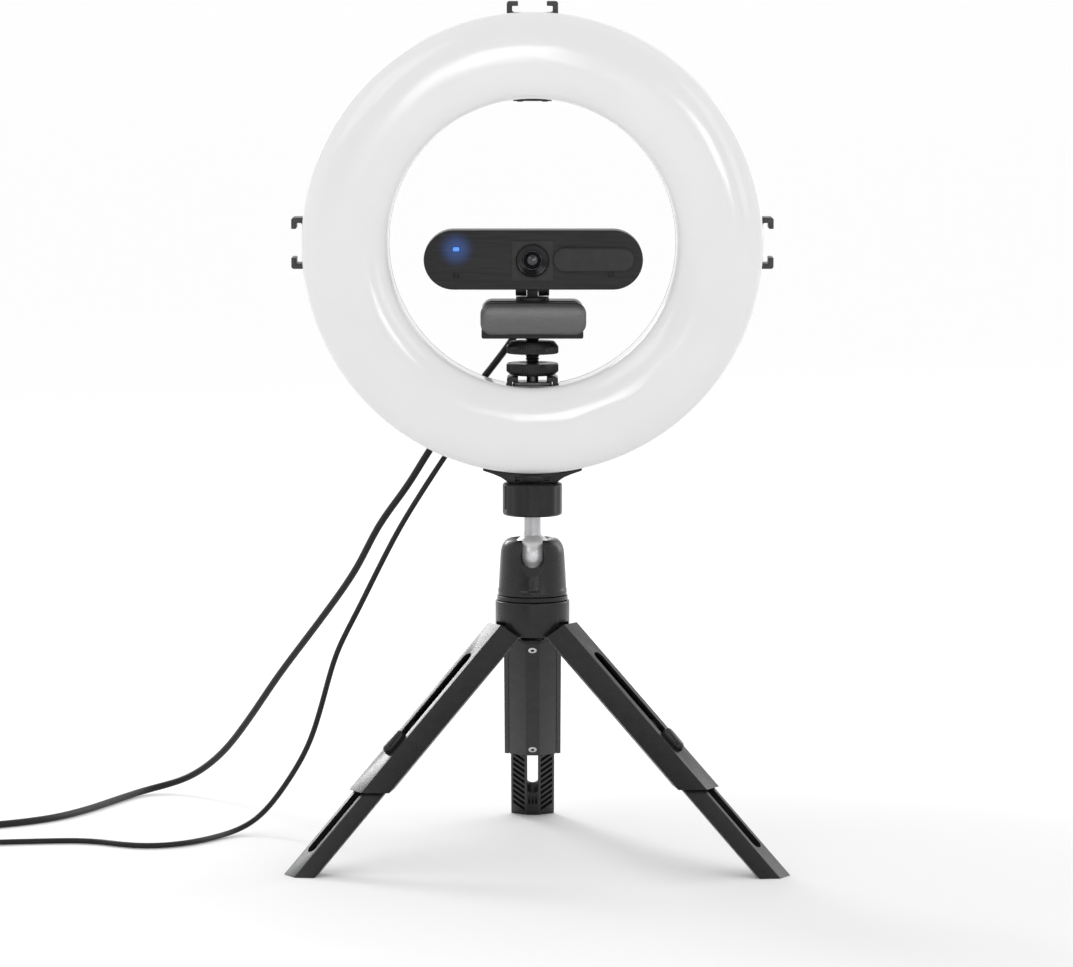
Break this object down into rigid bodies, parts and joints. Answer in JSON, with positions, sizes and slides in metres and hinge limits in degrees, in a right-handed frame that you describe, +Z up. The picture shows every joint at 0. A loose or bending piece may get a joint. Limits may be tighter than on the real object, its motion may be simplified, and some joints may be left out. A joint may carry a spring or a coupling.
{
  "type": "ring light",
  "caption": "Desk ring light with an opal annular diffuser on a notched ball head and folding telescopic tripod, with a webcam clamped in its inner shoe and free USB cords.",
  "frame": {"origin": "on the desk under the middle of the open tripod and ring, cords left out", "axes": "X to the right as seen from the front, Y to the back, away from the viewer, Z up; the lit face looks along -Y"},
  "size_m": [0.4256, 0.288, 0.3769],
  "materials": {
    "opal": "semi-gloss opal",
    "housing": "fine texture",
    "board": "lacquered",
    "shoe": "satin",
    "brass": "turned",
    "steel": "polished",
    "seat": "plain",
    "leg": "fine texture",
    "cover": "fine texture",
    "slide": "fine texture",
    "button": "gloss",
    "grey": "satin",
    "shell": "satin",
    "panel": "brushed",
    "lens": "black",
    "glass": "coated",
    "led": "lit blue",
    "cord": "vinyl",
    "plug": "vinyl"
  },
  "bodies": {
    "base": {"crown": "leg", "crown_bolt": "steel", "lock_washer": "shoe", "leg_1_pin": "steel", "leg_2_pin": "steel", "leg_3_pin": "steel", "webcam_cord": "cord", "webcam_coil": "cord", "webcam_plug": "plug", "light_cord": "cord", "light_coil": "cord", "light_plug": "plug", "remote_shell": "cord"},
    "lock_sleeve": {"ball_housing": "leg", "ball_seat": "seat"},
    "ball": {"ball_stem": "steel"},
    "ring_head": {"front_diffuser": "opal", "rear_housing": "housing", "led_board": "board", "shoe_top": "shoe", "shoe_left": "shoe", "shoe_right": "shoe", "shoe_inner": "shoe", "top_plate": "shoe", "lower_bracket": "housing", "mount_collar": "shoe", "thread_insert": "brass", "light_cord_gland": "cord"},
    "adapter": {"adapter_foot": "steel"},
    "knob": {"foot_knob": "shoe"},
    "disc": {"lock_disc": "shoe"},
    "clamp": {"clamp_base": "shell", "clamp_plate": "grey", "jaw_pin": "steel", "webcam_neck": "shell"},
    "jaw": {"clamp_jaw": "shell"},
    "webcam": {"webcam_rear_shell": "shell", "webcam_front_panel": "panel", "lens_barrel": "lens", "lens_glass": "glass", "tilt_pin": "steel", "status_led": "led", "webcam_cord_gland": "cord"},
    "slider": {"privacy_slider": "shell"},
    "leg_1": {"leg_1_sleeve": "leg", "leg_1_cover": "cover"},
    "leg_1_inner": {"leg_1_slide": "slide"},
    "leg_1_release": {"leg_1_button": "button"},
    "leg_2": {"leg_2_sleeve": "leg", "leg_2_cover": "cover"},
    "leg_2_inner": {"leg_2_slide": "slide"},
    "leg_2_release": {"leg_2_button": "button"},
    "leg_3": {"leg_3_sleeve": "leg", "leg_3_cover": "cover"},
    "leg_3_inner": {"leg_3_slide": "slide"},
    "leg_3_release": {"leg_3_button": "button"},
    "remote_power": {"remote_button_power": "button"},
    "remote_brighter": {"remote_button_brighter": "button"},
    "remote_dimmer": {"remote_button_dimmer": "button"}
  },
  "joints": [
    {"name": "sleeve_turn", "type": "hinge", "parent": "base", "child": "lock_sleeve", "pos_m": [0, -0.0266, 0.1133], "axis": [0, 0, 1], "range_deg": [-45, 45], "deforming": ["webcam_cord", "light_cord"]},
    {"name": "ball_tilt", "type": "hinge", "parent": "lock_sleeve", "child": "ball", "pos_m": [0, -0.0266, 0.1336], "axis": [1, 0, 0], "range_deg": [-30, 90]},
    {"name": "head_turn", "type": "hinge", "parent": "ball", "child": "ring_head", "pos_m": [0, -0.0266, 0.151], "axis": [0, 0, 1], "range_deg": [-90, 90]},
    {"name": "foot_slide", "type": "slide", "parent": "ring_head", "child": "adapter", "axis": [0, 1, 0], "range_m": [0, 0.012]},
    {"name": "knob_turn", "type": "hinge", "parent": "adapter", "child": "knob", "pos_m": [0, -0.0216, 0.213], "axis": [0, 0, 1], "range_deg": [-180, 180]},
    {"name": "disc_turn", "type": "hinge", "parent": "adapter", "child": "disc", "pos_m": [0, -0.0216, 0.2221], "axis": [0, 0, 1], "range_deg": [-180, 180]},
    {"name": "webcam_pan", "type": "hinge", "parent": "adapter", "child": "clamp", "pos_m": [0, -0.0216, 0.2279], "axis": [0, 0, 1], "range_deg": [-90, 90]},
    {"name": "jaw_fold", "type": "hinge", "parent": "clamp", "child": "jaw", "pos_m": [0, -0.0117, 0.243], "axis": [1, 0, 0], "range_deg": [0, 60]},
    {"name": "webcam_tilt", "type": "hinge", "parent": "clamp", "child": "webcam", "pos_m": [0, -0.0256, 0.252], "axis": [1, 0, 0], "range_deg": [-20, 20]},
    {"name": "slider_slide", "type": "slide", "parent": "webcam", "child": "slider", "axis": [1, 0, 0], "range_m": [-0.0175, 0]},
    {"name": "leg_1_fold", "type": "hinge", "parent": "base", "child": "leg_1", "pos_m": [-0.00693, -0.0306, 0.106], "axis": [-0.5, 0.866, 0], "range_deg": [-45.3, 0]},
    {"name": "leg_1_slide", "type": "slide", "parent": "leg_1", "child": "leg_1_inner", "axis": [-0.6156, -0.3554, -0.7034], "range_m": [-0.0455, 0]},
    {"name": "leg_1_button", "type": "slide", "parent": "leg_1_inner", "child": "leg_1_release", "axis": [0.6092, 0.3517, -0.7108], "range_m": [0, 0.0015], "stiffness_N_per_m": 800, "springref_m": -0.0005},
    {"name": "leg_2_fold", "type": "hinge", "parent": "base", "child": "leg_2", "pos_m": [0.00693, -0.0306, 0.106], "axis": [-0.5, -0.866, 0], "range_deg": [-46.5, 0]},
    {"name": "leg_2_slide", "type": "slide", "parent": "leg_2", "child": "leg_2_inner", "axis": [0.6282, -0.3627, -0.6884], "range_m": [-0.0455, 0]},
    {"name": "leg_2_button", "type": "slide", "parent": "leg_2_inner", "child": "leg_2_release", "axis": [-0.5961, 0.3442, -0.7254], "range_m": [0, 0.0015], "stiffness_N_per_m": 800, "springref_m": -0.0005},
    {"name": "leg_3_fold", "type": "hinge", "parent": "base", "child": "leg_3", "pos_m": [0, -0.0186, 0.106], "axis": [1, 0, 0], "range_deg": [-44, 0]},
    {"name": "leg_3_slide", "type": "slide", "parent": "leg_3", "child": "leg_3_inner", "axis": [0, 0.6947, -0.7193], "range_m": [-0.0455, 0]},
    {"name": "leg_3_button", "type": "slide", "parent": "leg_3_inner", "child": "leg_3_release", "axis": [0, -0.7193, -0.6947], "range_m": [0, 0.0015], "stiffness_N_per_m": 800, "springref_m": -0.0005},
    {"name": "remote_power_press", "type": "slide", "parent": "base", "child": "remote_power", "axis": [0, 0, -1], "range_m": [0, 0.0008], "stiffness_N_per_m": 600, "springref_m": -0.0004},
    {"name": "remote_brighter_press", "type": "slide", "parent": "base", "child": "remote_brighter", "axis": [0, 0, -1], "range_m": [0, 0.0008], "stiffness_N_per_m": 600, "springref_m": -0.0004},
    {"name": "remote_dimmer_press", "type": "slide", "parent": "base", "child": "remote_dimmer", "axis": [0, 0, -1], "range_m": [0, 0.0008], "stiffness_N_per_m": 600, "springref_m": -0.0004}
  ]
}
